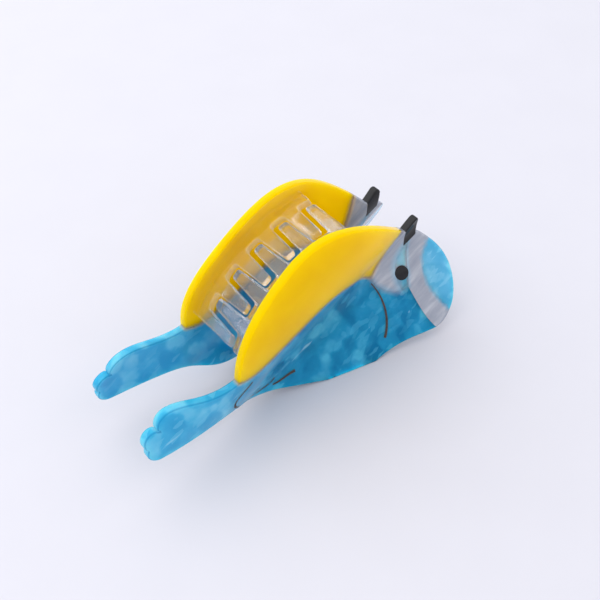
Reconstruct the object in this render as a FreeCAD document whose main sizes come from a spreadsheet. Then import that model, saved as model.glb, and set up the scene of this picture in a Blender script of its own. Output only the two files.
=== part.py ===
"""Bird-shaped hair claw: two curved acetate birds, back to back, on a sprung hinge.

Everything is drawn in the hinge frame first: X runs along the hinge pin from tail to head, Y is
across, Z climbs from the backs of the birds to their bellies, and the pin is centred on
X = 0, Y = 0.  Each piece is then tipped by hinge_pitch and lifted, so that the claw stands on the
flats of the two backs, with +Z up and the origin under the middle of its box.
The right half is at -Y and the left half at +Y.
"""
import math
import os

import FreeCAD
import Part
import Sketcher
from FreeCAD import Placement, Rotation, Vector

doc = FreeCAD.newDocument("hair_claw")

# ------------------------------------------------------------------ driving dimensions (mm, deg)
DIMENSIONS = {
    "sheet_thickness": 2.8,      # polished acetate sheet
    "waist_gap": 10.2,           # outer face to the middle plane, level with the pin
    "waist_radius": 12.0,        # outer face, concave
    "handle_angle": 28.4,        # how far the backs splay out
    "jaw_angle": 23.7,           # lean of the sheet where the jaw curve starts
    "jaw_radius": 50.0,          # outer face, convex
    "hinge_pitch": 27.1,         # slope of the pin when the claw stands on its backs
    "pin_height": -4.4,          # pin centre, in the hinge frame
    "pin_diameter": 1.6,
    "pin_length": 15.5,          # between its two heads
    "pin_head_diameter": 2.8,
    "pin_head_length": 0.7,
    "ear_thickness": 0.9,
    "ear_radius": 2.6,
    "ear_gap": 0.25,             # between an outer ear and the inner ear beside it
    "ear_station": 7.2,          # middle of an outer ear, from the middle of the pin
    "running_clearance": 0.05,   # pin to ear, radial
    "leaf_thickness": 0.8,
    "leaf_half_length": 11.0,
    "leaf_top": 2.6,
    "leaf_bottom": -12.4,
    "screw_diameter": 1.4,
    "screw_head_diameter": 2.4,
    "screw_head_height": 0.6,
    "screw_length": 2.0,         # in the acetate
    "screw_station": 9.4,
    "comb_thickness": 2.8,
    "comb_radius": 43.0,         # upper face, bowed like the bellies
    "comb_crown": 30.1,          # highest point of the upper face, in the hinge frame
    "comb_crown_along": 1.4,
    "comb_half_length": 24.6,
    "comb_turn_along": -0.9,     # the second comb is the first one turned about this place
    "tooth_pitch": 10.0,
    "tooth_reach": 5.2,          # tip past the middle plane
    "tooth_root": 7.2,           # root from the middle plane
    "tooth_tip_width": 3.3,
    "tooth_root_width": 5.0,
    "eye_diameter": 4.8,
    "eye_depth": 1.5,
    "line_width": 0.5,
    "line_depth": 0.5,
    "wire_diameter": 1.0,
    "coil_diameter": 4.4,        # middle of the wire
    "coil_turns": 8.0,
}
TEETH = 5
COMB_BACK = 13.4                 # middle plane to the buried back edge of a comb
COMB_SPREAD = 42.0               # half angle of the bowed strip the combs are cut from
TOOTH_INSET = 0.2                # end of a comb to the tip of its last tooth
TIP_ROUND = 1.1
ROOT_ROUND = 1.1
PRISM_WIDTH = 90.0
SLAB_LENGTH = 150.0
COIL_SPACING = 1.06              # turn to turn, in wire diameters
COIL_STEP = 90.0                 # the coil is swept in arcs of about this many degrees
SPRING_LIFT = 0.05               # leg clear of the leaf

sheet = doc.addObject("Spreadsheet::Sheet", "dimensions")
for row, (alias, number) in enumerate(DIMENSIONS.items(), start=1):
    sheet.set("A%d" % row, alias)
    sheet.set("B%d" % row, str(number))
    sheet.setAlias("B%d" % row, alias)
doc.recompute()


def size(alias):
    return float(getattr(sheet, alias))


# ------------------------------------------------------------------------ the bird, seen from its side
# corners where pieces meet, as (along the pin, up from the pin)
TAIL_ROOT = (-31.3, 17.4)
TAIL_NOTCH_TOP = (-55.6, 30.5)
TAIL_NOTCH_END = (-61.9, 27.5)
TAIL_TIP = (-62.0, 20.6)
BELLY_END = (37.0, 3.8)
BEAK_TOP = (38.7, -1.9)
BEAK_POINT = (35.6, -6.8)
BEAK_UNDER = (38.0, -7.0)
BEAK_BOTTOM = (41.6, -7.1)
BAND_TOP = (43.9, -11.8)
BAND_BACK = (33.2, -35.0)
NAPE = (25.8, -35.9)
THROAT = (20.8, -6.1)
CHEEK_LOW = (25.6, -17.6)
STRIPE_LOW = (28.0, -18.2)
EYE = (29.4, -13.2)

ground_slope = math.tan(math.radians(size("hinge_pitch")))
REST_LEVEL = -26.6               # where the line of the floor crosses X = 0
REST_FROM = -12.6
REST_TO = 3.0
CENTRE_SHIFT = 9.37              # along X, so that the origin is under the middle of the box
claw_place = Placement(
    Vector(CENTRE_SHIFT, 0, -REST_LEVEL * math.cos(math.radians(size("hinge_pitch")))),
    Rotation(Vector(0, 1, 0), -size("hinge_pitch")))


def floor_point(along):
    return (along, REST_LEVEL - ground_slope * along)


# outline and colour joints, each a list of points: two make a straight edge, more make a curve
EDGES = {
    "tail_top": [TAIL_NOTCH_TOP, (-53.8, 32.4), (-50.5, 32.8), (-46.5, 30.6), (-42.0, 25.6),
                 (-37.0, 20.6), TAIL_ROOT],
    "tail_middle": [TAIL_NOTCH_END, (-61.6, 29.9), (-59.4, 31.6), (-57.0, 31.6), TAIL_NOTCH_TOP],
    "tail_end": [TAIL_TIP, (-63.5, 22.6), (-63.7, 25.2), TAIL_NOTCH_END],
    "tail_under": [floor_point(REST_FROM), (-19.4, -14.7), (-26.5, -9.0), (-33.5, -2.6),
                   (-39.6, 4.8), (-47.5, 10.8), (-56.0, 16.4), TAIL_TIP],
    "rest": [floor_point(REST_TO), floor_point(REST_FROM)],
    "back": [NAPE, (21.4, -33.9), (15.9, -31.3), (10.2, -29.3), floor_point(REST_TO)],
    "belly_rim": [TAIL_ROOT, (-24.6, 25.5), (-15.5, 30.7), (-3.0, 33.9), (6.8, 34.7), (15.3, 33.1),
                  (22.9, 28.3), (29.5, 20.3), (33.6, 12.4), BELLY_END],
    "cheek_rim": [BELLY_END, BEAK_TOP],
    "forehead_rim": [BEAK_BOTTOM, (43.1, -9.4), BAND_TOP],
    "cap_rim": [BAND_TOP, (44.7, -17.4), (43.6, -23.6), (40.4, -29.4), (36.9, -33.0), BAND_BACK],
    "nape_rim": [BAND_BACK, (29.5, -36.1), NAPE],
    "beak_top": [BEAK_TOP, (42.8, -1.0)],
    "beak_tip": [(42.8, -1.0), (44.3, -1.3), (44.7, -2.8)],
    "beak_front": [(44.7, -2.8), BEAK_BOTTOM],
    "beak_cheek": [BEAK_POINT, BEAK_TOP],
    "beak_stripe": [BEAK_UNDER, BEAK_POINT],
    "beak_band": [BEAK_BOTTOM, BEAK_UNDER],
    "belly_cheek": [BELLY_END, THROAT],
    "belly_body": [THROAT, (14.2, 3.8), (8.0, 8.6), (-2.0, 10.8), (-18.0, 12.0), (-26.5, 13.6),
                   TAIL_ROOT],
    "cheek_body": [THROAT, (21.2, -12.0), CHEEK_LOW],
    "cheek_stripe": [CHEEK_LOW, (27.1, -13.0), (30.8, -8.7), BEAK_POINT],
    "stripe_body": [CHEEK_LOW, STRIPE_LOW],
    "stripe_band": [STRIPE_LOW, (30.9, -14.8), (34.2, -10.6), BEAK_UNDER],
    "band_body": [STRIPE_LOW, (27.0, -22.6), (25.9, -28.6), NAPE],
    "cap_band": [BAND_BACK, (32.6, -29.0), (33.8, -20.8), (37.4, -15.0), BAND_TOP],
}
# pieces of one half, each a loop of edges; "-" runs an edge backwards
PIECES = {
    "body": ["belly_body", "-tail_top", "-tail_middle", "-tail_end", "-tail_under", "-rest",
             "-back", "-band_body", "-stripe_body", "-cheek_body"],
    "belly": ["belly_rim", "belly_cheek", "belly_body"],
    "cheek": ["cheek_rim", "-beak_cheek", "-cheek_stripe", "-cheek_body", "-belly_cheek"],
    "eye_stripe": ["stripe_body", "stripe_band", "beak_stripe", "-cheek_stripe"],
    "head_band": ["forehead_rim", "-cap_band", "nape_rim", "-band_body", "stripe_band",
                  "-beak_band"],
    "cap": ["cap_rim", "cap_band"],
    "beak": ["beak_top", "beak_tip", "beak_front", "beak_band", "beak_stripe", "beak_cheek"],
}
# engraved strokes, each a list of points and the width at its two ends, in line widths
STROKES = {
    "wing_line": [([(19.6, -7.8), (19.0, -13.2), (16.6, -18.6), (10.6, -24.4)], 0.8, 1.8)],
    "feather_lines": [
        ([(-28.4, 11.4), (-33.6, 10.5), (-36.8, 9.2), (-37.8, 6.6), (-36.9, 3.6)], 1.5, 1.5),
        ([(-35.9, 1.8), (-32.9, 0.0), (-31.8, -1.2)], 1.1, 1.3),
        ([(-31.2, -0.4), (-29.1, -0.6)], 1.2, 1.1),
        ([(-31.2, -2.0), (-29.0, -3.2), (-26.4, -4.3)], 1.3, 1.0),
        ([(-23.6, -4.2), (-25.7, -4.6)], 1.1, 1.1),
        ([(-25.7, -6.2), (-23.4, -7.4), (-20.4, -8.2), (-17.6, -9.2)], 1.3, 2.0),
    ],
}


def body_with_sketch(name, role):
    """A PartDesign body with one sketch attached to its own origin plane."""
    body = doc.addObject("PartDesign::Body", name)
    body.AllowCompound = True
    body.Placement = claw_place
    plane = [item for item in body.Origin.OriginFeatures if item.Role == role][0]
    sketch = body.newObject("Sketcher::SketchObject", name + "_sketch")
    sketch.AttachmentSupport = (plane, [""])
    sketch.MapMode = "FlatFace"
    return body, sketch


def pad(body, sketch, length, both_ways=True):
    """Pad the sketch; length is a spreadsheet expression or a number."""
    feature = body.newObject("PartDesign::Pad", body.Name + "_pad")
    feature.Profile = sketch
    feature.Midplane = both_ways
    if isinstance(length, str):
        feature.Length = 1.0
        feature.setExpression("Length", length)
    else:
        feature.Length = length
    return feature


def curve_through(points):
    """The sketch geometry of one edge: a line for two points, a spline for more."""
    vectors = [Vector(a, b, 0) for a, b in points]
    if len(vectors) == 2:
        return Part.LineSegment(*vectors)
    curve = Part.BSplineCurve()
    curve.interpolate(vectors)
    return curve


def half_profile(near, far):
    """Section across one half, between two depths under its outer face, at -Y."""
    waist = Vector(-(size("waist_gap") + size("waist_radius")), size("pin_height"), 0)
    low = math.radians(-size("handle_angle"))
    high = math.radians(size("jaw_angle"))
    along = Vector(math.cos(high), math.sin(high), 0)
    jaw = waist + along * (size("waist_radius") + size("jaw_radius"))
    top = math.radians(180.0 - 30.0)
    start = math.radians(180.0 + size("jaw_angle"))
    down = Vector(math.sin(low), -math.cos(low), 0)
    handle = 40.0

    def face(depth):
        waist_arc = Part.ArcOfCircle(
            Part.Circle(waist, Vector(0, 0, 1), size("waist_radius") + depth), low, high)
        jaw_arc = Part.ArcOfCircle(
            Part.Circle(jaw, Vector(0, 0, 1), size("jaw_radius") - depth), top, start)
        bend = waist_arc.StartPoint
        return [Part.LineSegment(bend + down * handle, bend), waist_arc, jaw_arc]

    outer = face(near)
    inner = face(far)
    caps = [Part.LineSegment(outer[2].StartPoint, inner[2].StartPoint),
            Part.LineSegment(outer[0].StartPoint, inner[0].StartPoint)]
    return outer + inner + caps


def slab(name, near, far):
    """The bent sheet between two depths, much longer than the bird."""
    body, sketch = body_with_sketch(name, "YZ_Plane")
    sketch.addGeometry(half_profile(near, far), False)
    pad(body, sketch, SLAB_LENGTH)
    return body


def prism(name, edges):
    """A side outline as a prism across the claw."""
    body, sketch = body_with_sketch(name, "XZ_Plane")
    sketch.addGeometry([curve_through(EDGES[edge.lstrip("-")]) for edge in edges], False)
    pad(body, sketch, PRISM_WIDTH)
    return body


def combine(kind, name, base, tool):
    feature = doc.addObject(kind, name)
    feature.Base = base
    feature.Tool = tool
    return feature


def stroke_outline(points, start_width, end_width):
    """Closed outline of one tapering stroke about a centre line."""
    centre = Part.BSplineCurve()
    centre.interpolate([Vector(a, b, 0) for a, b in points])
    sides = {1: [], -1: []}
    for number, point in enumerate(points):
        share = number / (len(points) - 1)
        half = size("line_width") / 2 * (start_width + (end_width - start_width) * share)
        where = Vector(point[0], point[1], 0)
        across = centre.tangent(centre.parameter(where))[0].cross(Vector(0, 0, 1))
        for side in sides:
            spot = where + across * half * side
            sides[side].append((spot.x, spot.y))
    ends = [(sides[1][end], sides[-1][end]) for end in (0, -1)]
    return [curve_through(outline) for outline in (sides[1], sides[-1], ends[0], ends[1])]


def rounded_outline(corners):
    """Closed outline of straight runs with round corners, from (x, y, radius) corners."""
    points = [Vector(x, y, 0) for x, y, radius in corners]
    runs = []
    arcs = []
    for number, point in enumerate(points):
        back = (points[number - 1] - point).normalize()
        ahead = (points[(number + 1) % len(points)] - point).normalize()
        radius = corners[number][2]
        half_angle = back.getAngle(ahead) / 2
        reach = radius / math.tan(half_angle)
        enter = point + back * reach
        leave = point + ahead * reach
        if radius:
            middle = point + (back + ahead).normalize() * (radius / math.sin(half_angle) - radius)
            arcs.append(Part.Arc(enter, middle, leave))
        runs.append((enter, leave))
    lines = [Part.LineSegment(runs[number - 1][1], runs[number][0]) for number in range(len(runs))]
    return lines + arcs


def round_bar(name, role, centre, diameter, start, length):
    """A cylinder across a plane: the sketch carries its diameter, the pad its length."""
    body, sketch = body_with_sketch(name, role)
    circle = sketch.addGeometry(
        Part.Circle(Vector(centre[0], centre[1], 0), Vector(0, 0, 1), 1.0), False)
    rule = sketch.addConstraint(Sketcher.Constraint("Diameter", circle, 2.0))
    sketch.setExpression("Constraints[%d]" % rule, diameter)
    sketch.AttachmentOffset = Placement(Vector(0, 0, start), Rotation())
    pad(body, sketch, length, both_ways=False)
    return body


def fuse_all(name, shapes):
    feature = doc.addObject("Part::MultiFuse", name)
    feature.Shapes = shapes
    return feature


def mirrored(name, source):
    """The same piece on the other half of the claw."""
    feature = doc.addObject("Part::Mirroring", name)
    feature.Source = source
    feature.Normal = Vector(0, 1, 0)
    return feature


# ------------------------------------------------------------------------------ acetate birds
def make_sheet_pieces():
    """The seven colours of one bird, with the eye and the engraved strokes let in."""
    full_sheet = slab("full_sheet", 0.0, size("sheet_thickness"))
    cut = {}
    for piece, edges in PIECES.items():
        cut[piece] = combine("Part::Common", piece + "_cut", full_sheet,
                             prism(piece + "_outline", edges))
    line_skin = slab("line_skin", 0.0, size("line_depth"))
    for piece, strokes in STROKES.items():
        body, sketch = body_with_sketch(piece + "_outline", "XZ_Plane")
        for stroke in strokes:
            sketch.addGeometry(stroke_outline(*stroke), False)
        pad(body, sketch, PRISM_WIDTH)
        cut[piece] = combine("Part::Common", piece + "_fill", line_skin, body)
    eye_skin = slab("eye_skin", 0.0, size("eye_depth"))
    eye_bar = round_bar("eye_outline", "XZ_Plane", EYE, "dimensions.eye_diameter",
                        0.0, PRISM_WIDTH / 2)
    cut["eye"] = combine("Part::Common", "eye_disc", eye_skin, eye_bar)
    for piece in ("cheek", "eye_stripe", "head_band"):
        cut[piece] = combine("Part::Cut", piece + "_socket", cut[piece], cut["eye"])
    for piece in STROKES:
        cut["body"] = combine("Part::Cut", "body_without_" + piece, cut["body"], cut[piece])
    return full_sheet, cut


# -------------------------------------------------------------------------------- clear combs
def comb_corners():
    """Corners of a comb seen from above, teeth towards +Y, its back buried in the sheet."""
    end = size("comb_half_length")
    root = -size("tooth_root")
    reach = size("tooth_reach")
    last = end - size("tooth_tip_width") / 2 - TOOTH_INSET
    corners = [(end, -COMB_BACK, 0.0), (-end, -COMB_BACK, 0.0), (-end, root, ROOT_ROUND)]
    for number in range(TEETH):
        middle = last - size("tooth_pitch") * (TEETH - 1 - number)
        root_half = size("tooth_root_width") / 2
        tip_half = size("tooth_tip_width") / 2
        corners += [(middle - root_half, root, ROOT_ROUND), (middle - tip_half, reach, TIP_ROUND),
                    (middle + tip_half, reach, TIP_ROUND), (middle + root_half, root, ROOT_ROUND)]
    corners[-1] = (end, root, ROOT_ROUND)
    return corners


def make_comb(name, turn, sheet_tool):
    """A comb cut from a bowed strip of clear sheet; turn is about the hinge frame's Z."""
    bow, bow_sketch = body_with_sketch(name + "_bow", "XZ_Plane")
    centre = Vector(size("comb_crown_along"), size("comb_crown") - size("comb_radius"), 0)
    spread = math.radians(COMB_SPREAD)
    arcs = [Part.ArcOfCircle(Part.Circle(centre, Vector(0, 0, 1), radius),
                             math.pi / 2 - spread, math.pi / 2 + spread)
            for radius in (size("comb_radius"), size("comb_radius") - size("comb_thickness"))]
    ends = [Part.LineSegment(arcs[0].StartPoint, arcs[1].StartPoint),
            Part.LineSegment(arcs[0].EndPoint, arcs[1].EndPoint)]
    bow_sketch.addGeometry(arcs + ends, False)
    pad(bow, bow_sketch, PRISM_WIDTH)
    plan, plan_sketch = body_with_sketch(name + "_plan", "XY_Plane")
    plan_sketch.addGeometry(rounded_outline(comb_corners()), False)
    pad(plan, plan_sketch, PRISM_WIDTH)
    plan.Placement = claw_place * Placement(Vector(size("comb_turn_along"), 0, 0),
                                            Rotation(Vector(0, 0, 1), turn))
    blank = combine("Part::Common", name + "_blank", bow, plan)
    return combine("Part::Cut", name, blank, sheet_tool)


# -------------------------------------------------------------------------------------- hinge
def make_leaf(name, station, bore, mirror):
    """A bent metal leaf on the inner face, with two ears that hold the pin."""
    inner = size("sheet_thickness")
    strip = slab(name + "_strip", inner, inner + size("leaf_thickness"))
    body, sketch = body_with_sketch(name + "_outline", "XZ_Plane")
    half = size("leaf_half_length")
    sketch.addGeometry(rounded_outline([
        (-half, size("leaf_bottom"), 2.0), (half, size("leaf_bottom"), 2.0),
        (half, size("leaf_top"), 2.0), (-half, size("leaf_top"), 2.0)]), False)
    pad(body, sketch, PRISM_WIDTH)
    parts = [combine("Part::Common", name + "_plate", strip, body)]
    seat = size("waist_gap") - size("sheet_thickness") - size("leaf_thickness") / 2
    radius = size("ear_radius")
    pin = size("pin_height")
    for side in (-1, 1):
        ear, ear_sketch = body_with_sketch("%s_ear_%d" % (name, side + 2), "YZ_Plane")
        ear_sketch.addGeometry(rounded_outline([
            (-seat, pin - radius, 0.0), (radius, pin - radius, radius * 0.999),
            (radius, pin + radius, radius * 0.999), (-seat, pin + radius, 0.0)]), False)
        ear_sketch.AttachmentOffset = Placement(
            Vector(0, 0, side * station - size("ear_thickness") / 2), Rotation())
        pad(ear, ear_sketch, "dimensions.ear_thickness", both_ways=False)
        parts.append(ear)
    leaf = fuse_all(name + "_fused", parts)
    leaf = combine("Part::Cut", name + "_bored", leaf, bore)
    leaf = combine("Part::Cut", name + "_drilled", leaf, screw_shanks)
    return mirrored(name, leaf) if mirror else leaf


def make_screws():
    """Two small screws from the leaf into the sheet; shanks first, they also cut the holes."""
    face = size("waist_gap") - size("sheet_thickness") - size("leaf_thickness")
    shank_length = size("leaf_thickness") + size("screw_length")
    shanks = []
    heads = []
    for side in (-1, 1):
        place = (side * size("screw_station"), size("pin_height"))
        shanks.append(round_bar("shank_%d" % (side + 2), "XZ_Plane", place,
                                "dimensions.screw_diameter", face, shank_length))
        heads.append(round_bar("head_%d" % (side + 2), "XZ_Plane", place,
                               "dimensions.screw_head_diameter",
                               face - size("screw_head_height"), "dimensions.screw_head_height"))
    return fuse_all("screw_shanks", shanks), shanks, heads


def make_pin():
    half = size("pin_length") / 2
    spot = (0.0, size("pin_height"))
    shank = round_bar("pin_shank", "YZ_Plane", spot, "dimensions.pin_diameter", -half,
                      "dimensions.pin_length")
    heads = [round_bar("pin_head_%d" % number, "YZ_Plane", spot, "dimensions.pin_head_diameter",
                       start, "dimensions.pin_head_length")
             for number, start in enumerate((-half - size("pin_head_length"), half))]
    return shank, heads


def make_spring():
    """Torsion spring about the pin: a coil with a leg resting on each leaf's handle side."""
    radius = size("coil_diameter") / 2
    wire = size("wire_diameter") / 2
    pitch = size("wire_diameter") * COIL_SPACING
    lean = math.radians(size("handle_angle"))
    contact = (size("waist_radius") + size("sheet_thickness") + size("leaf_thickness")
               + wire + SPRING_LIFT)
    across = contact * math.cos(lean) - size("waist_gap") - size("waist_radius")
    down = -contact * math.sin(lean)
    leg = math.sqrt(across ** 2 + down ** 2 - radius ** 2)
    first = math.atan2(down, across) + math.atan2(leg, radius)
    last = math.pi - first + 2 * math.pi * (size("coil_turns") - 1)
    rise = pitch / (2 * math.pi)
    height = rise * (last - first)
    steps = math.ceil(math.degrees(last - first) / COIL_STEP)
    step = (last - first) / steps
    coil = []
    for number in range(steps):
        arc = Part.makeHelix(pitch, rise * step, radius)
        arc.rotate(Vector(), Vector(0, 0, 1), math.degrees(first + number * step))
        arc.translate(Vector(0, 0, number * rise * step - height / 2))
        coil += arc.Edges

    def on_coil(angle):
        spot = Vector(radius * math.cos(angle), radius * math.sin(angle),
                      rise * (angle - (first + last) / 2))
        heading = Vector(-radius * math.sin(angle), radius * math.cos(angle), rise)
        return spot, heading * (leg / radius)

    begin, begin_heading = on_coil(first)
    end, end_heading = on_coil(last)
    path = Part.Wire([Part.makeLine(begin - begin_heading, begin)] + coil
                     + [Part.makeLine(end, end + end_heading)])
    section = Part.Wire(Part.makeCircle(wire, begin - begin_heading, begin_heading))
    spring = doc.addObject("Part::Feature", "torsion_spring")
    spring.Shape = path.makePipeShell([section], True, True)
    spring.Placement = claw_place * Placement(
        Vector(0, 0, size("pin_height")),
        Rotation(Vector(0, 1, 0), Vector(0, 0, 1), Vector(1, 0, 0), "ZXY"))
    return spring


# ---------------------------------------------------------------------------------- assembly
nodes = {}


def add_node(name, feature):
    feature.Label = name
    nodes[name] = feature


right_sheet, right_pieces = make_sheet_pieces()
screw_shanks, shank_bars, head_bars = make_screws()
right_pieces["body"] = combine("Part::Cut", "body_drilled", right_pieces["body"], screw_shanks)
right_pieces["hinge_screws"] = fuse_all("screws", shank_bars + head_bars)
for piece, feature in right_pieces.items():
    add_node("left_" + piece, mirrored("left_" + piece, feature))
    add_node("right_" + piece, feature)

left_sheet = mirrored("left_sheet", right_sheet)
add_node("right_comb", make_comb("right_comb", 0.0, right_sheet))
add_node("left_comb", make_comb("left_comb", 180.0, left_sheet))

pin_shank, pin_heads = make_pin()
loose_bore = round_bar("loose_bore", "YZ_Plane", (0.0, size("pin_height")),
                       "dimensions.pin_diameter + 2 * dimensions.running_clearance",
                       -PRISM_WIDTH / 2, PRISM_WIDTH)
outer_ear = size("ear_station")
inner_ear = outer_ear - size("ear_thickness") - size("ear_gap")
add_node("right_hinge_leaf", make_leaf("right_leaf", outer_ear, pin_shank, False))
add_node("left_hinge_leaf", make_leaf("left_leaf", inner_ear, loose_bore, True))
add_node("hinge_pin", fuse_all("pin", [pin_shank] + pin_heads))
add_node("torsion_spring", make_spring())
doc.recompute()

for item in doc.Objects:
    if "Invalid" in item.State or "Error" in item.State:
        raise SystemExit("failed: %s %s" % (item.Label, item.State))
os.makedirs("parts", exist_ok=True)
for name, feature in sorted(nodes.items()):
    shape = feature.Shape
    if shape.isNull() or not shape.isValid() or not shape.Solids:
        raise SystemExit("bad shape: " + name)
    shape.exportStep("parts/%s.step" % name)
    print("%-20s %d solid(s) %9.2f mm3" % (name, len(shape.Solids), shape.Volume))
whole = Part.makeCompound([feature.Shape for feature in nodes.values()])
box = whole.optimalBoundingBox(False, False)
print("box", [round(v, 2) for v in (box.XMin, box.XMax, box.YMin, box.YMax, box.ZMin, box.ZMax)])
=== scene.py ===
"""Looks of the bird-shaped hair claw: polished marbled acetate, clear combs and a sprung hinge.

The CAD solids give the outlines.  Each acetate bird is rebuilt from them as one bent sheet with
rounded, polished rims, and is then divided into its colours, so that the joints stay flush.  The
clear combs are rebuilt in the same way.  Metal parts keep their CAD shape, and the spring is a
copy of its CAD mesh.

Shapes are worked out in the hinge frame, as in the CAD model: x along the pin from tail to head,
y across the claw, v up from the backs to the bellies.  place() takes them into the claw's frame.
"""
import math

import bpy
import numpy as np
from mathutils import Matrix, Vector
from mathutils.geometry import delaunay_2d_cdt


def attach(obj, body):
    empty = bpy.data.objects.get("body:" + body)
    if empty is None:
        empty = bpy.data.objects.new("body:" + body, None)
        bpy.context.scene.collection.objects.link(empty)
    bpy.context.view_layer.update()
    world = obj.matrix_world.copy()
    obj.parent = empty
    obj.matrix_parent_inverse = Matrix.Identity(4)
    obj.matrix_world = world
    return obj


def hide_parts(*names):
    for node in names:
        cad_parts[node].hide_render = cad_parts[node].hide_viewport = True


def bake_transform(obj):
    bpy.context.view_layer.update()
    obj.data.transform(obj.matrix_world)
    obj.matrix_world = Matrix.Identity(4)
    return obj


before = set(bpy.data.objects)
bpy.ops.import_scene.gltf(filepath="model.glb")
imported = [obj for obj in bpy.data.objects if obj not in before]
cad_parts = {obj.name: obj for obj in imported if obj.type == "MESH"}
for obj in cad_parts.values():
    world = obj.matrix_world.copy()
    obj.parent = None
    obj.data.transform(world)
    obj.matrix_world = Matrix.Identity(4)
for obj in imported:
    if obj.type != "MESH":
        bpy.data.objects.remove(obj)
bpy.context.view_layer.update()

MM = 0.001

# ------------------------------------------------------------------ the claw's main dimensions (m)
PITCH = math.radians(27.1)
SHIFT = 9.37 * MM
LIFT = 26.6 * MM * math.cos(PITCH)
SHEET = 2.8 * MM
WAIST_GAP = 10.2 * MM
WAIST_RADIUS = 12.0 * MM
WAIST_LEVEL = -4.4 * MM
HANDLE_ANGLE = math.radians(28.4)
JAW_ANGLE = math.radians(23.7)
JAW_RADIUS = 50.0 * MM
COMB_THICKNESS = 2.8 * MM
COMB_RADIUS = 43.0 * MM
COMB_CROWN = 30.1 * MM
COMB_CROWN_ALONG = 1.4 * MM
COMB_SINK = 0.7 * MM             # how far a comb runs into the sheet that it is bonded to
COMB_FREE = 12.0 * MM            # beyond this distance from the middle plane a comb has no free rim
EYE_DEPTH = 1.5 * MM
EYE_DOME = 0.25 * MM
LINE_DEPTH = 0.5 * MM
LINE_RECESS = 0.02 * MM
RIM_ROUND = 0.6 * MM             # the polished rim of the sheet
COMB_ROUND = 0.55 * MM
ON_FACE = 0.02 * MM              # a CAD vertex this near to a face lies on it
SNAP = 0.01 * MM
MERGE = 0.1 * SNAP               # CAD vertices this near to each other are one
BIRD_SPACING = 1.0 * MM          # grid of the pattern's inner points
COMB_SPACING = 0.8 * MM
RIM_STEPS = (20, 40, 60, 75, 90)  # degrees round the rim's rounding at which it has a ring
EDGE_STEP = 0.6                  # outline steps, in grid spacings
CROSSING_STEP = 0.16             # joint steps where a joint crosses the rounding, in its radius
GRID_CLEAR = 1.25                # grid points keep this many roundings from the rim
ROW_HEIGHT = 0.87                # of a triangular grid, in its spacing
EYE_RINGS = (0.35, 0.65, 0.88)   # rings of points in the domed eye, in its radius
EYE_RING_POINTS = 19

SHEET_PIECES = ("body", "belly", "cheek", "eye_stripe", "head_band", "cap", "beak")
LINES = ("wing_line", "feather_lines")
SOFT_JOINTS = {("belly", "body"): 0.9 * MM, ("belly", "cheek"): 1.2 * MM,
               ("cheek", "body"): 1.5 * MM, ("cheek", "eye_stripe"): 2.2 * MM,
               ("eye_stripe", "head_band"): 1.0 * MM, ("head_band", "cap"): 0.5 * MM,
               ("eye_stripe", "body"): 1.8 * MM}     # how far two colours run into each other


def place(x, y, v):
    """Hinge frame to the claw's frame."""
    return Vector((x * math.cos(PITCH) - v * math.sin(PITCH) + SHIFT, y,
                   x * math.sin(PITCH) + v * math.cos(PITCH) + LIFT))


def hinge_coordinates(points):
    """The claw's frame to the hinge frame, for rows of points."""
    x = points[:, 0] - SHIFT
    z = points[:, 2] - LIFT
    return np.stack([x * math.cos(PITCH) + z * math.sin(PITCH), points[:, 1],
                     -x * math.sin(PITCH) + z * math.cos(PITCH)], axis=1)


def sheet_across(v, depth):
    """From the middle plane to the bent sheet, at height v and a depth under its outer face."""
    waist_y = -(WAIST_GAP + WAIST_RADIUS)
    jaw_y = waist_y + math.cos(JAW_ANGLE) * (WAIST_RADIUS + JAW_RADIUS)
    jaw_v = WAIST_LEVEL + math.sin(JAW_ANGLE) * (WAIST_RADIUS + JAW_RADIUS)
    jaw_reach = JAW_RADIUS - depth
    waist_reach = WAIST_RADIUS + depth
    bend_v = WAIST_LEVEL - waist_reach * math.sin(HANDLE_ANGLE)
    bend_y = waist_y + waist_reach * math.cos(HANDLE_ANGLE)
    crease_v = WAIST_LEVEL + waist_reach * math.sin(JAW_ANGLE)
    in_jaw = jaw_y - np.sqrt(np.maximum(jaw_reach ** 2 - (v - jaw_v) ** 2, 0.0))
    in_waist = waist_y + np.sqrt(np.maximum(waist_reach ** 2 - (v - WAIST_LEVEL) ** 2, 0.0))
    in_handle = bend_y + math.tan(HANDLE_ANGLE) * (v - bend_v)
    return -np.where(v > crease_v, in_jaw, np.where(v > bend_v, in_waist, in_handle))


def comb_level(x, inset):
    """Height of the bowed comb's upper face, or of a face that far under it."""
    reach = COMB_RADIUS - inset
    rise = np.sqrt(np.maximum(reach ** 2 - (x - COMB_CROWN_ALONG) ** 2, 0.0))
    return COMB_CROWN - COMB_RADIUS + rise


# --------------------------------------------------------------------------- outlines from the CAD
def face_outlines(node, on_face, flatten):
    """Closed outlines of the part of a CAD node that lies on one face, longest first."""
    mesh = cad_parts[node].data
    points = np.empty(len(mesh.vertices) * 3)
    mesh.vertices.foreach_get("co", points)
    points = hinge_coordinates(points.reshape(-1, 3))
    _, first, merged = np.unique(np.round(points / MERGE), axis=0,
                                 return_index=True, return_inverse=True)
    merged = merged.ravel()
    lies = on_face(points)
    uses = set()
    for polygon in mesh.polygons:
        corners = list(polygon.vertices)
        if all(lies[corner] for corner in corners):
            ring = [int(merged[corner]) for corner in corners]
            uses.update((a, b) for a, b in zip(ring, ring[1:] + ring[:1]) if a != b)
    follow = {a: b for a, b in uses if (b, a) not in uses}
    outlines = []
    while follow:
        start = min(follow)
        chain = [start]
        at = follow.pop(start)
        while at != start and at in follow:
            chain.append(at)
            at = follow.pop(at)
        if len(chain) > 2:
            outlines.append(flatten(points[first[chain]]))
    outlines.sort(key=lambda line: -np.abs(np.diff(line, axis=0, append=line[:1])).sum())
    return outlines


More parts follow.
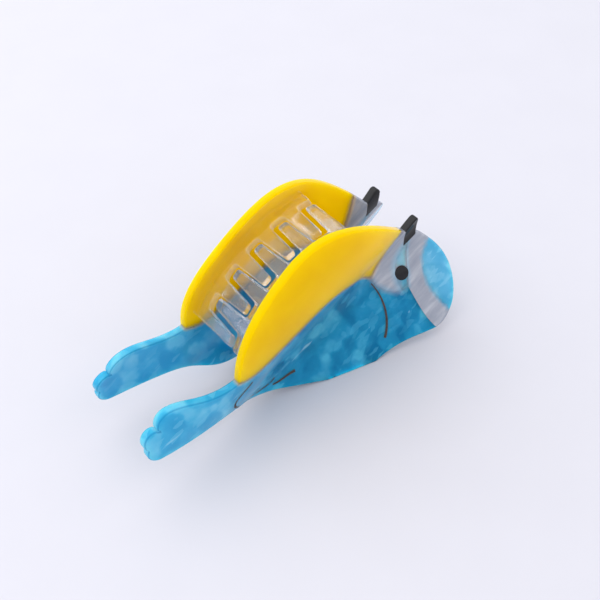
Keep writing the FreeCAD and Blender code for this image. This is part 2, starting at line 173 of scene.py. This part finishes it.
def inside(points, outline):
    """Which points lie inside a closed outline."""
    hit = np.zeros(len(points), bool)
    for (ax, ay), (bx, by) in zip(outline, np.roll(outline, -1, axis=0)):
        if ay != by:
            crosses = (points[:, 1] < ay) != (points[:, 1] < by)
            at = ax + (points[:, 1] - ay) * (bx - ax) / (by - ay)
            hit ^= crosses & (points[:, 0] < at)
    return hit


def distance_to(points, starts, ends):
    """Least distance from each point to a set of segments."""
    best = np.full(len(points), 1.0)
    for a, b in zip(starts, ends):
        run = b - a
        share = np.clip(((points - a) @ run) / max(run @ run, 1e-18), 0.0, 1.0)
        best = np.minimum(best, np.linalg.norm(points - a - share[:, None] * run, axis=1))
    return best


def triangulate(points, edges):
    coords = [Vector(point) for point in points.tolist()]
    verts, links, faces, _, sources, _ = delaunay_2d_cdt(coords, edges, [], 0, SNAP)
    return np.array([tuple(vert) for vert in verts]), links, faces, sources


def loop_edges(ring):
    ring = list(ring)
    return list(zip(ring, ring[1:] + ring[:1]))


# -------------------------------------------------------------------------------- the flat pattern
class Pattern:
    """Outlines as one flat triangulated pattern, finer towards its free rim.

    faces are triangles, and names gives the outlines that each of them lies in.
    """

    def __init__(self, outlines, rounding, spacing, is_rim=None, extra=()):
        self.outlines = outlines
        self.rounding = rounding
        self.spacing = spacing
        points, rims, joints = self.sort_edges(is_rim)
        self.rim_starts = points[[a for a, b in rims]]
        self.rim_ends = points[[b for a, b in rims]]
        fixed, edges = self.divide(points, rims, joints)
        joint_starts = points[[a for a, b in joints]]
        joint_ends = points[[b for a, b in joints]]
        free = np.concatenate(self.rings() + [self.grid(points), np.array(extra).reshape(-1, 2)])
        rim_gap = distance_to(free, self.rim_starts, self.rim_ends)
        joint_gap = distance_to(free, joint_starts, joint_ends)
        held = np.zeros(len(free), bool)
        for line in outlines.values():
            held |= inside(free, line)
        free = free[held & (joint_gap > np.clip(0.3 * rim_gap, 0.12 * rounding, 0.35 * spacing))]
        self.points, _, faces, _ = triangulate(np.concatenate([fixed, free]), edges)
        self.faces = []
        self.names = []
        for face, names in zip(faces, self.owners(self.points, faces)):
            if names:
                (ax, ay), (bx, by), (cx, cy) = self.points[list(face)]
                turn = (bx - ax) * (cy - ay) - (by - ay) * (cx - ax)
                self.faces.append(tuple(face) if turn > 0 else tuple(reversed(face)))
                self.names.append(names)
        gap = distance_to(self.points, self.rim_starts, self.rim_ends)
        short = np.clip(rounding - gap, 0.0, rounding)
        self.drop = rounding - np.sqrt(rounding ** 2 - short ** 2)

    def towards(self, piece, other, width):
        """At each point, how much of the other piece's colour shows: half of it at the joint."""
        edges = {}
        for face, names in zip(self.faces, self.names):
            base = [name for name in names if name in (piece, other)]
            for edge in loop_edges(face) if base else ():
                edges[edge] = base[0]
        joint = [edge for edge, name in edges.items()
                 if name == piece and edges.get(edge[::-1]) == other]
        gap = distance_to(self.points, self.points[[a for a, b in joint]],
                          self.points[[b for a, b in joint]])
        return 0.5 * np.clip(1.0 - gap / width, 0.0, 1.0)

    def owners(self, points, faces):
        """The outlines that hold each face."""
        centres = np.array([points[list(face)].mean(axis=0) for face in faces])
        names = [[] for _ in faces]
        for name, line in self.outlines.items():
            for number in np.nonzero(inside(centres, line))[0]:
                names[number].append(name)
        return names

    def sort_edges(self, is_rim):
        """Outline edges, as free rims and as joints between colours."""
        edges = []
        base = 0
        for line in self.outlines.values():
            edges += [(base + a, base + b) for a, b in loop_edges(range(len(line)))]
            base += len(line)
        points, links, faces, sources = triangulate(np.concatenate(list(self.outlines.values())),
                                                    edges)
        sides = {}
        for face, names in zip(faces, self.owners(points, faces)):
            for link in loop_edges(face):
                sides[frozenset(link)] = sides.get(frozenset(link), 0) + bool(names)
        rims = []
        joints = []
        for link, source in zip(links, sources):
            if source:
                a, b = link
                free = sides.get(frozenset(link)) == 1
                if free and is_rim is not None:
                    free = is_rim((points[a] + points[b]) / 2)
                (rims if free else joints).append((a, b))
        return points, rims, joints

    def divide(self, points, rims, joints):
        """Outline edges in short steps; joints have the shortest where they cross the rounding."""
        verts = points.tolist()
        edges = []
        for a, b in rims + joints:
            length = np.linalg.norm(points[b] - points[a])
            step = EDGE_STEP * self.spacing
            if (a, b) in joints:
                middle = ((points[a] + points[b]) / 2)[None]
                near = distance_to(middle, self.rim_starts, self.rim_ends)[0] - length / 2
                step = CROSSING_STEP * self.rounding if near < self.rounding else step
            parts = max(1, int(math.ceil(length / step)))
            run = [a]
            for number in range(1, parts):
                verts.append((points[a] + (points[b] - points[a]) * number / parts).tolist())
                run.append(len(verts) - 1)
            run.append(b)
            edges += list(zip(run, run[1:]))
        return np.array(verts), edges

    def rings(self):
        """Points at steps inwards from the rim, which give the rounding its shape."""
        run = self.rim_ends - self.rim_starts
        length = np.linalg.norm(run, axis=1)
        rings = []
        for angle in RIM_STEPS:
            inset = self.rounding * (1 - math.cos(math.radians(angle)))
            spots = []
            for start, along, size in zip(self.rim_starts, run, length):
                side = np.array([-along[1], along[0]]) / max(size, 1e-9)
                parts = max(1, int(round(size / (EDGE_STEP * self.spacing))))
                for part in range(parts):
                    middle = start + along * (part + 0.5) / parts
                    spots += [middle + side * inset, middle - side * inset]
            spots = np.array(spots)
            gap = distance_to(spots, self.rim_starts, self.rim_ends)
            rings.append(spots[gap > 0.985 * inset])
        return rings

    def grid(self, points):
        """A triangular grid of points clear of the rim."""
        low, high = points.min(axis=0), points.max(axis=0)
        columns = np.arange(low[0], high[0], self.spacing)
        rows = np.arange(low[1], high[1], self.spacing * ROW_HEIGHT)
        spots = np.array([(x + self.spacing / 2 * (number % 2), y)
                          for number, y in enumerate(rows) for x in columns])
        return spots[distance_to(spots, self.rim_starts, self.rim_ends) > self.rounding * GRID_CLEAR]


# ------------------------------------------------------------------------------ solid from pattern
def area_normal(spots):
    if len(spots) == 3:
        return (spots[1] - spots[0]).cross(spots[2] - spots[0])
    return (spots[2] - spots[0]).cross(spots[3] - spots[1])


class Moulder:
    """Closed pieces from parts of a pattern.  Their polished faces share one set of normals.

    A corner is (pattern vertex, level), and where(x, y, level, drop) gives its place.
    """

    def __init__(self, pattern, where):
        self.pattern = pattern
        self.where = where
        self.spots = {}
        self.normals = {}
        directed = {edge for face in pattern.faces for edge in loop_edges(face)}
        self.rim = {(a, b) for a, b in directed if (b, a) not in directed}
        for face in pattern.faces:
            self.share([(corner, "top") for corner in face])
            self.share([(corner, "bottom") for corner in reversed(face)])
        for a, b in self.rim:
            self.share([(a, "top"), (a, "bottom"), (b, "bottom"), (b, "top")])

    def spot(self, corner):
        if corner not in self.spots:
            vertex, level = corner
            x, y = self.pattern.points[vertex]
            drop = float(self.pattern.drop[vertex])
            self.spots[corner] = self.where(float(x), float(y), level, drop)
        return self.spots[corner]

    def share(self, corners):
        normal = area_normal([self.spot(corner) for corner in corners])
        for corner in corners:
            self.normals[corner] = self.normals.get(corner, Vector()) + normal

    def piece(self, name, levels, mirror=False, shares=None):
        """levels gives each of the piece's triangles its upper and lower level.

        shares are numbers for each point of the pattern, kept as attributes of the mesh.
        """
        faces = []
        tops = {}
        for number, (top, bottom) in levels.items():
            face = self.pattern.faces[number]
            faces.append(([(corner, top) for corner in face], True))
            faces.append(([(corner, bottom) for corner in reversed(face)], True))
            tops.update({edge: (top, bottom) for edge in loop_edges(face)})
        for (a, b), (top, bottom) in tops.items():
            over = tops.get((b, a))
            if over is None:
                faces.append(([(a, top), (a, bottom), (b, bottom), (b, top)], (a, b) in self.rim))
            elif top == "top" and over[0] != top:
                faces.append(([(a, top), (a, over[0]), (b, over[0]), (b, top)], False))
        index = {}
        for corners, _ in faces:
            for corner in corners:
                index.setdefault(corner, len(index))
        turn = Matrix.Diagonal((1, -1, 1)) if mirror else Matrix.Identity(3)
        rings = []
        normals = []
        for corners, polished in faces:
            flat = area_normal([self.spot(corner) for corner in corners]).normalized()
            if mirror:
                corners = corners[::-1]
            rings.append([index[corner] for corner in corners])
            for corner in corners:
                shared = self.normals.get(corner) if polished else None
                normals.append(tuple(turn @ (shared.normalized() if shared else flat)))
        mesh = bpy.data.meshes.new(name)
        mesh.from_pydata([tuple(turn @ self.spot(corner)) for corner in index], [], rings)
        mesh.shade_smooth()
        mesh.normals_split_custom_set(normals)
        for key, share in (shares or {}).items():
            values = mesh.attributes.new(key, "FLOAT", "POINT").data
            values.foreach_set("value", [float(share[vertex]) for vertex, _ in index])
        piece = bpy.data.objects.new(name, mesh)
        bpy.context.scene.collection.objects.link(piece)
        return piece


# ------------------------------------------------------------------------------------ acetate birds
def on_sheet(depth):
    return lambda p: np.abs(np.abs(p[:, 1]) - sheet_across(p[:, 2], depth)) < ON_FACE


def side_view(points):
    return points[:, [0, 2]]


def bird_pattern():
    """One bird in side view, with its eye and lines; the left bird is its mirror image."""
    outlines = {}
    for piece in SHEET_PIECES:
        outlines[piece] = face_outlines("right_" + piece, on_sheet(SHEET), side_view)[0]
    for piece in LINES + ("eye",):
        for number, line in enumerate(face_outlines("right_" + piece, on_sheet(0.0), side_view)):
            outlines["%s.%d" % (piece, number)] = line
    eye = outlines["eye.0"]
    middle = (eye.min(axis=0) + eye.max(axis=0)) / 2
    radius = (eye.max(axis=0) - eye.min(axis=0)).mean() / 2
    rings = [middle + radius * share * np.array([math.cos(turn), math.sin(turn)])
             for share in EYE_RINGS
             for turn in np.linspace(0, 2 * math.pi, EYE_RING_POINTS + 1)[:-1]]
    return Pattern(outlines, RIM_ROUND, BIRD_SPACING, extra=rings), middle, radius


def make_birds():
    pattern, eye_middle, eye_radius = bird_pattern()

    def where(x, v, level, drop):
        outer = sheet_across(v, 0.0)
        depth = {"top": drop, "dome": 0.0, "recess": LINE_RECESS, "line": LINE_DEPTH,
                 "eye": EYE_DEPTH}
        if level == "bottom":
            return place(x, -float(sheet_across(v, SHEET) + drop), v)
        if level == "dome":
            share = np.hypot(x - eye_middle[0], v - eye_middle[1]) / eye_radius
            return place(x, -float(outer + EYE_DOME * max(1 - share ** 2, 0.0)), v)
        return place(x, -float(outer - depth[level]), v)

    moulder = Moulder(pattern, where)
    levels = {}
    for number, names in enumerate(pattern.names):
        base = [name for name in names if name in SHEET_PIECES]
        inlay = [name.split(".")[0] for name in names if name not in SHEET_PIECES]
        if not base:
            continue
        if not inlay:
            levels.setdefault(base[0], {})[number] = ("top", "bottom")
            continue
        sunk = "eye" if inlay[0] == "eye" else "line"
        shown = "dome" if inlay[0] == "eye" else "recess"
        levels.setdefault(base[0], {})[number] = (sunk, "bottom")
        levels.setdefault(inlay[0], {})[number] = (shown, sunk)
    # the rim share also carries the painted shade along the body's rims
    shares = {"body": {"rim": pattern.drop / RIM_ROUND}}
    for pair, width in SOFT_JOINTS.items():
        for piece, other in (pair, pair[::-1]):
            shares.setdefault(piece, {})["to_" + other] = pattern.towards(piece, other, width)
    pieces = {}
    for side in ("right", "left"):
        for piece, triangles in levels.items():
            name = "%s_%s" % (side, piece)
            pieces[name] = moulder.piece(name + "_polished", triangles, mirror=side == "left",
                                         shares=shares.get(piece))
    return pieces


# -------------------------------------------------------------------------------------- clear combs
def make_combs():
    def on_comb(points):
        return np.abs(points[:, 2] - comb_level(points[:, 0], 0.0)) < ON_FACE

    def plan_view(points):
        """From above, with the bonded edge run on into the sheet."""
        x, y = points[:, 0], points[:, 1]
        bonded = np.abs(y) > sheet_across(comb_level(x, 0.0), SHEET) - 5 * ON_FACE
        return np.stack([x, y + np.where(bonded, np.sign(y) * COMB_SINK, 0.0)], axis=1)

    def where(x, y, level, drop):
        if level == "top":
            return place(x, y, float(comb_level(x, 0.0)) - drop)
        return place(x, y, float(comb_level(x, COMB_THICKNESS)) + drop)

    pieces = {}
    for side in ("right", "left"):
        name = side + "_comb"
        outline = face_outlines(name, on_comb, plan_view)[0]
        pattern = Pattern({"comb": outline}, COMB_ROUND, COMB_SPACING,
                          is_rim=lambda spot: abs(spot[1]) < COMB_FREE)
        triangles = {number: ("top", "bottom") for number in range(len(pattern.faces))}
        pieces[name] = Moulder(pattern, where).piece(
            name + "_polished", triangles, shares={"rim": np.sqrt(pattern.drop / COMB_ROUND)})
    return pieces


# ------------------------------------------------------------------------------------------- spring
def make_spring():
    """The CAD spring again, as a copy of its mesh."""
    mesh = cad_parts["torsion_spring"].data.copy()
    spring = bpy.data.objects.new("torsion_spring_wound", mesh)
    bpy.context.scene.collection.objects.link(spring)
    points = np.empty(len(mesh.vertices) * 3)
    mesh.vertices.foreach_get("co", points)
    points = hinge_coordinates(points.reshape(-1, 3))
    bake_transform(spring)
    return spring


# ---------------------------------------------------------------------------------------- materials
class Recipe:
    """A node material built step by step; each step returns an output to link."""

    def __init__(self, name):
        self.material = bpy.data.materials.new(name)
        self.material.use_nodes = True
        self.tree = self.material.node_tree
        self.shader = self.tree.nodes["Principled BSDF"]

    def node(self, kind, **settings):
        made = self.tree.nodes.new("ShaderNode" + kind)
        for key, value in settings.items():
            setattr(made, key, value)
        return made

    def set(self, node, socket, value):
        target = node.inputs[socket]
        if isinstance(value, bpy.types.NodeSocket):
            self.tree.links.new(value, target)
        else:
            target.default_value = value

    def surface(self, **values):
        for key, value in values.items():
            socket = {"ior": "IOR", "specular_ior_level": "Specular IOR Level"}.get(
                key, key.replace("_", " ").title())
            self.set(self.shader, socket, value)

    def hinge_space(self):
        """Object coordinates turned into the hinge frame, in metres."""
        spot = self.node("TexCoord").outputs["Object"]
        moved = self.node("Mapping", vector_type="POINT")
        turn = Matrix.Rotation(PITCH, 3, "Y")
        offset = turn @ Vector((-SHIFT, 0, -LIFT))
        moved.inputs["Rotation"].default_value = (0, PITCH, 0)
        moved.inputs["Location"].default_value = offset
        self.set(moved, "Vector", spot)
        return moved.outputs[0]

    def stretched(self, vector, scale):
        mapping = self.node("Mapping", vector_type="POINT")
        mapping.inputs["Scale"].default_value = scale
        self.set(mapping, "Vector", vector)
        return mapping.outputs[0]

    def noise(self, vector, scale, detail=3.0, roughness=0.5, distortion=0.0):
        made = self.node("TexNoise")
        for key, value in (("Vector", vector), ("Scale", scale), ("Detail", detail),
                           ("Roughness", roughness), ("Distortion", distortion)):
            self.set(made, key, value)
        return made.outputs["Fac"]

    def chips(self, vector, scale, softness):
        """Random shades in irregular cells, with edges that are soft by softness."""
        wander = self.noise(vector, 0.9 * scale, 2.0)
        moved = self.node("VectorMath", operation="ADD")
        self.set(moved, 0, vector)
        self.set(moved, 1, self.math("MULTIPLY", wander, 0.8 / scale))
        made = self.node("TexVoronoi", feature="SMOOTH_F1")
        for key, value in (("Vector", moved.outputs[0]), ("Scale", scale),
                           ("Smoothness", softness)):
            self.set(made, key, value)
        return made.outputs["Color"]

    def ramp(self, factor, stops):
        made = self.node("ValToRGB")
        elements = made.color_ramp.elements
        while len(elements) < len(stops):
            elements.new(0.5)
        for element, (position, colour) in zip(elements, stops):
            element.position = position
            element.color = tuple(colour) + (1.0,)
        self.set(made, "Fac", factor)
        return made.outputs["Color"]

    def mix(self, factor, first, second):
        made = self.node("Mix", data_type="RGBA")
        for socket, value in ((0, factor), (6, first), (7, second)):
            target = made.inputs[socket]
            if isinstance(value, bpy.types.NodeSocket):
                self.tree.links.new(value, target)
            else:
                target.default_value = value if socket == 0 else tuple(value) + (1.0,)
        return made.outputs[2]

    def math(self, operation, first, second):
        made = self.node("Math", operation=operation)
        self.set(made, 0, first)
        self.set(made, 1, second)
        return made.outputs[0]

    def bump(self, height, strength, distance):
        made = self.node("Bump")
        self.set(made, "Height", height)
        self.set(made, "Strength", strength)
        self.set(made, "Distance", distance)
        self.set(self.shader, "Normal", made.outputs[0])


SCRATCH_PEARL = (0.34, 0.62, 0.74)
# painted reflection: the paler blue of a band in the bend under the belly, where the lamps would be
# mirrored
BEND_REFLECTION_BLUE = (0.085, 0.26, 0.40)
# painted shade: a darker blue along the rounded rims
RIM_SHADE_BLUE = (0.0, 0.13, 0.29)
TAIL_LIGHT_SLOPE = -16.0               # share of the painted lighter tail, per metre along the bird
BEND_REFLECTION_SLOPE = 50.0                # share of the painted reflection band, per metre of height


def grey(level):
    return (level, level, level)


def clouded_blue(mix, space, deep, middle, light):
    """Blue acetate: soft chips of several shades, a few pale flakes and fine scratches of pearl."""
    clouds = mix.noise(space, 75.0, 4.0, 0.55, 0.3)
    chips = mix.chips(mix.stretched(space, (1.0, 1.0, 0.75)), 210.0, 0.6)
    shade = mix.mix(0.4, clouds, chips)
    colour = mix.ramp(shade, [(0.36, deep), (0.50, middle), (0.65, light)])
    flakes = mix.chips(mix.stretched(space, (0.6, 1.0, 1.3)), 420.0, 0.4)
    flake_share = mix.ramp(flakes, [(0.62, grey(0.0)), (0.78, grey(0.4))])
    colour = mix.mix(flake_share, colour, light)
    scratches = mix.noise(mix.stretched(space, (0.45, 0.45, 1.6)), 150.0, 2.0, 0.5, 1.5)
    scratch_share = mix.ramp(scratches, [(0.69, grey(0.0)), (0.73, grey(0.45))])
    return mix.mix(scratch_share, colour, SCRATCH_PEARL)


def saturated_yellow(mix, space):
    clouds = mix.noise(space, 60.0, 3.0, 0.5, 0.6)
    return mix.ramp(clouds, [(0.3, (0.73, 0.41, 0.0005)), (0.7, (0.80, 0.47, 0.001))])


def silky_pearl(mix, space):
    """Pearl acetate: silky, with faint streaks across it."""
    streaks = mix.noise(mix.stretched(space, (0.25, 1.0, 1.3)), 240.0, 4.0, 0.6, 0.4)
    return mix.ramp(streaks, [(0.30, (0.25, 0.275, 0.335)), (0.52, (0.32, 0.345, 0.40)),
                              (0.74, (0.46, 0.48, 0.53))])


def body_blue(mix, space):
    """The body's blue: deep at the wing; paler towards the tail as painted light, a paler band under
    the belly as a painted reflection of the lamps in the bend, and a darker line along the rims as
    painted shade.
    """
    colour = clouded_blue(mix, space, (0.001, 0.14, 0.285), (0.01, 0.225, 0.40),
                          (0.06, 0.36, 0.53))
    parts = mix.node("SeparateXYZ")
    mix.set(parts, 0, space)
    along, height = parts.outputs[0], parts.outputs[2]
    # painted light: the blue turns paler towards the tail, as if more light fell on it
    tail_light_share = mix.ramp(mix.math("MULTIPLY", along, TAIL_LIGHT_SLOPE),
                          [(0.28, grey(0.0)), (0.62, grey(1.0))])
    lit_tail_colour = clouded_blue(mix, space, (0.015, 0.31, 0.51), (0.045, 0.385, 0.58),
                               (0.16, 0.52, 0.67))
    colour = mix.mix(tail_light_share, colour, lit_tail_colour)
    wander = mix.math("MULTIPLY", mix.noise(space, 60.0, 3.0), 0.25)
    # painted reflection: a paler blue band in the bend under the belly
    band = mix.ramp(mix.math("ADD", mix.math("MULTIPLY", height, BEND_REFLECTION_SLOPE), wander),
                    [(0.24, grey(0.0)), (0.40, grey(0.65)), (0.62, grey(0.2))])
    colour = mix.mix(band, colour, BEND_REFLECTION_BLUE)
    # painted shade: a darker line along the rounded rims
    rim = mix.node("Attribute", attribute_name="rim").outputs["Fac"]
    outline = mix.ramp(rim, [(0.0, grey(0.0)), (0.15, grey(0.55)), (0.45, grey(0.45)),
                             (0.9, grey(0.0))])
    return mix.mix(outline, colour, RIM_SHADE_BLUE)


def cap_blue(mix, space):
    return clouded_blue(mix, space, (0.07, 0.33, 0.51), (0.12, 0.40, 0.58), (0.26, 0.55, 0.69))


COLOURS = {"body": body_blue, "belly": saturated_yellow, "cheek": silky_pearl,
           "head_band": silky_pearl, "cap": cap_blue, "eye_stripe": cap_blue}


def acetate(name, own, others=(), **surface):
    """Polished acetate in its own colour, which runs into the others' at soft joints."""
    mix = Recipe(name)
    space = mix.hinge_space()
    colour = own(mix, space)
    for other in others:
        share = mix.node("Attribute", attribute_name="to_" + other).outputs["Fac"]
        colour = mix.mix(share, colour, COLOURS[other](mix, space))
    mix.surface(base_color=colour, ior=1.49, **surface)
    mix.bump(mix.noise(space, 260.0, 2.0), 0.05, 0.0004)
    return mix.material


def black():
    mix = Recipe("black_acetate_polished")
    space = mix.hinge_space()
    sheen = mix.noise(space, 300.0, 3.0)
    mix.surface(base_color=mix.ramp(sheen, [(0.3, grey(0.004)), (0.7, (0.008, 0.009, 0.012))]),
                roughness=mix.ramp(sheen, [(0.3, grey(0.10)), (0.7, grey(0.2))]), ior=1.5,
                specular_ior_level=0.3)
    return mix.material


def clear():
    """Clear acetate, more see-through across its faces than along its rims, where a share of diffuse
    pale colour is a painted highlight.
    """
    mix = Recipe("clear_acetate_polished")
    space = mix.hinge_space()
    haze = mix.noise(space, 120.0, 2.0)
    rim = mix.node("Attribute", attribute_name="rim").outputs["Fac"]
    mix.surface(base_color=mix.ramp(haze, [(0.3, (0.985, 0.985, 0.98)), (0.7, grey(1.0))]),
                roughness=0.0, ior=1.48,
                # painted highlight: less transmission at the rims shows the pale base colour as
                # bright lines along the comb's edges
                transmission_weight=mix.ramp(rim, [(0.2, grey(0.97)), (0.7, grey(0.80))]),
                alpha=mix.ramp(rim, [(0.1, grey(0.34)), (0.5, grey(1.0))]))
    mix.bump(mix.noise(space, 90.0, 1.0), 0.01, 0.0004)
    return mix.material


def brown_fill():
    mix = Recipe("brown_fill_matte")
    space = mix.hinge_space()
    grain = mix.noise(space, 900.0, 3.0)
    colour = mix.ramp(grain, [(0.35, (0.022, 0.014, 0.010)), (0.7, (0.065, 0.042, 0.030))])
    mix.surface(base_color=colour, roughness=0.6)
    mix.bump(grain, 0.3, 0.0001)
    return mix.material


def metal(name, colour, roughness):
    """Plated steel with fine drawn marks."""
    mix = Recipe(name)
    space = mix.hinge_space()
    marks = mix.noise(mix.stretched(space, (1.0, 8.0, 8.0)), 600.0, 3.0)
    mix.surface(base_color=mix.ramp(marks, [(0.3, tuple(0.8 * part for part in colour)),
                                            (0.7, colour)]),
                metallic=1.0,
                roughness=mix.ramp(marks, [(0.3, grey(roughness)), (0.7, grey(roughness + 0.15))]))
    mix.bump(marks, 0.1, 0.00005)
    return mix.material


def painted(piece, material):
    piece.data.materials.clear()
    piece.data.materials.append(material)


# -------------------------------------------------------------------------------------- the object
BLUE_FINISH = {"roughness": 0.15, "specular_tint": (0.25, 0.75, 1.0, 1.0),
               "specular_ior_level": 0.35, "subsurface_weight": 0.6,
               "subsurface_radius": (0.2, 0.72, 0.95), "subsurface_scale": 0.012}
PEARL_FINISH = {"roughness": 0.18, "metallic": 0.1}
BLUE = acetate("blue_acetate_polished", body_blue, ("belly", "cheek", "eye_stripe"),
               **BLUE_FINISH)
CAP_BLUE = acetate("blue_acetate_cap", cap_blue, ("head_band",), **BLUE_FINISH)
STRIPE_BLUE = acetate("blue_acetate_stripe", cap_blue, ("cheek", "head_band", "body"),
                      **BLUE_FINISH)
YELLOW = acetate("yellow_acetate_polished", saturated_yellow, ("body", "cheek"), roughness=0.15,
                 specular_tint=(1.0, 0.75, 0.05, 1.0), specular_ior_level=0.15,
                 subsurface_weight=0.85, subsurface_radius=(1.0, 0.97, 0.03),
                 subsurface_scale=0.012)
CHEEK = acetate("pearl_acetate_cheek", silky_pearl, ("belly", "body", "eye_stripe"),
                **PEARL_FINISH)
PEARL = acetate("pearl_acetate_polished", silky_pearl, ("cap", "eye_stripe"), **PEARL_FINISH)
BLACK = black()
CLEAR = clear()
BROWN = brown_fill()
NICKEL = metal("hinge_steel_plated", (0.66, 0.64, 0.60), 0.22)
WIRE = metal("spring_steel_drawn", (0.42, 0.42, 0.43), 0.3)

LOOKS = {"body": BLUE, "cap": CAP_BLUE, "eye_stripe": STRIPE_BLUE, "belly": YELLOW, "cheek": CHEEK,
         "head_band": PEARL, "beak": BLACK, "eye": BLACK, "comb": CLEAR, "wing_line": BROWN,
         "feather_lines": BROWN, "hinge_leaf": NICKEL, "hinge_screws": NICKEL, "hinge_pin": NICKEL,
         "torsion_spring": WIRE}

replacements = make_birds()
replacements.update(make_combs())
for node, piece in replacements.items():
    side, kind = node.split("_", 1)
    painted(piece, LOOKS[kind])
    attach(piece, side + "_half")
    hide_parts(node)
spring = make_spring()
painted(spring, LOOKS["torsion_spring"])
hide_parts("torsion_spring")
replacements["torsion_spring"] = spring
for node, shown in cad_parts.items():
    if node not in replacements:
        kind = node.split("_", 1)[1] if node.startswith(("right_", "left_")) else node
        painted(shown, LOOKS[kind])

# ------------------------------------------------------------------------------- floor and lighting
FLOOR_REACH = 12.0
PAPER_GRAIN = 40.0
floor_mesh = bpy.data.meshes.new("floor")
floor_mesh.from_pydata([(-FLOOR_REACH, -FLOOR_REACH, 0), (FLOOR_REACH, -FLOOR_REACH, 0),
                        (FLOOR_REACH, FLOOR_REACH, 0), (-FLOOR_REACH, FLOOR_REACH, 0)],
                       [], [(0, 1, 2, 3)])
floor = bpy.data.objects.new("floor", floor_mesh)
bpy.context.scene.collection.objects.link(floor)
paper = Recipe("floor_paper")
grain = paper.noise(paper.node("TexCoord").outputs["Object"], PAPER_GRAIN)
paper.surface(base_color=paper.ramp(grain, [(0.3, (0.61, 0.61, 0.655)),
                                            (0.7, (0.62, 0.62, 0.665))]),
              roughness=0.7)
painted(floor, paper.material)

AIM = place(0.0, 0.0, 0.0)


def softbox(name, azimuth, elevation, distance, size, power, colour):
    """An area light that looks at the claw; azimuth 0 stands at +Y and 90 at +X."""
    turn, tilt = math.radians(azimuth), math.radians(elevation)
    away = Vector((math.sin(turn) * math.cos(tilt), math.cos(turn) * math.cos(tilt),
                   math.sin(tilt)))
    lamp = bpy.data.lights.new(name, "AREA")
    lamp.shape = "DISK"
    lamp.size = size
    lamp.energy = power
    lamp.color = colour
    holder = bpy.data.objects.new(name, lamp)
    holder.location = AIM + away * distance
    holder.rotation_euler = away.to_track_quat("Z", "Y").to_euler()
    bpy.context.scene.collection.objects.link(holder)


softbox("key_light", azimuth=-32.0, elevation=56.0, distance=0.9, size=1.3, power=4.2,
        colour=(1.0, 0.99, 0.98))

world = bpy.data.worlds.new("studio")
world.use_nodes = True
surround = world.node_tree.nodes["Background"]
surround.inputs["Color"].default_value = (0.95, 0.95, 1.0, 1.0)
surround.inputs["Strength"].default_value = 1.2
bpy.context.scene.world = world
bpy.context.scene.view_settings.view_transform = "Standard"

# ------------------------------------------------------------------------------------------- camera
CAMERA_ELEVATION = math.radians(47.482)
CAMERA_AZIMUTH = math.radians(38.897)
CAMERA_ROLL = math.radians(-0.872)
CAMERA_DISTANCE = 0.281
CAMERA_LENS = 52.53
CAMERA_SENSOR = 36.0
ahead = Vector((math.sin(CAMERA_AZIMUTH) * math.cos(CAMERA_ELEVATION),
                math.cos(CAMERA_AZIMUTH) * math.cos(CAMERA_ELEVATION),
                -math.sin(CAMERA_ELEVATION)))
level_right = Vector((math.cos(CAMERA_AZIMUTH), -math.sin(CAMERA_AZIMUTH), 0.0))
level_up = level_right.cross(ahead)
right = level_right * math.cos(CAMERA_ROLL) + level_up * math.sin(CAMERA_ROLL)
up = level_up * math.cos(CAMERA_ROLL) - level_right * math.sin(CAMERA_ROLL)
view = Matrix((right, up, -ahead)).transposed().to_4x4()
view.translation = AIM - ahead * CAMERA_DISTANCE
lens = bpy.data.cameras.new("camera")
lens.sensor_width = CAMERA_SENSOR
lens.lens = CAMERA_LENS
lens.clip_start = 10 * MM
camera = bpy.data.objects.new("camera", lens)
camera.matrix_world = view
bpy.context.scene.collection.objects.link(camera)
bpy.context.scene.camera = camera
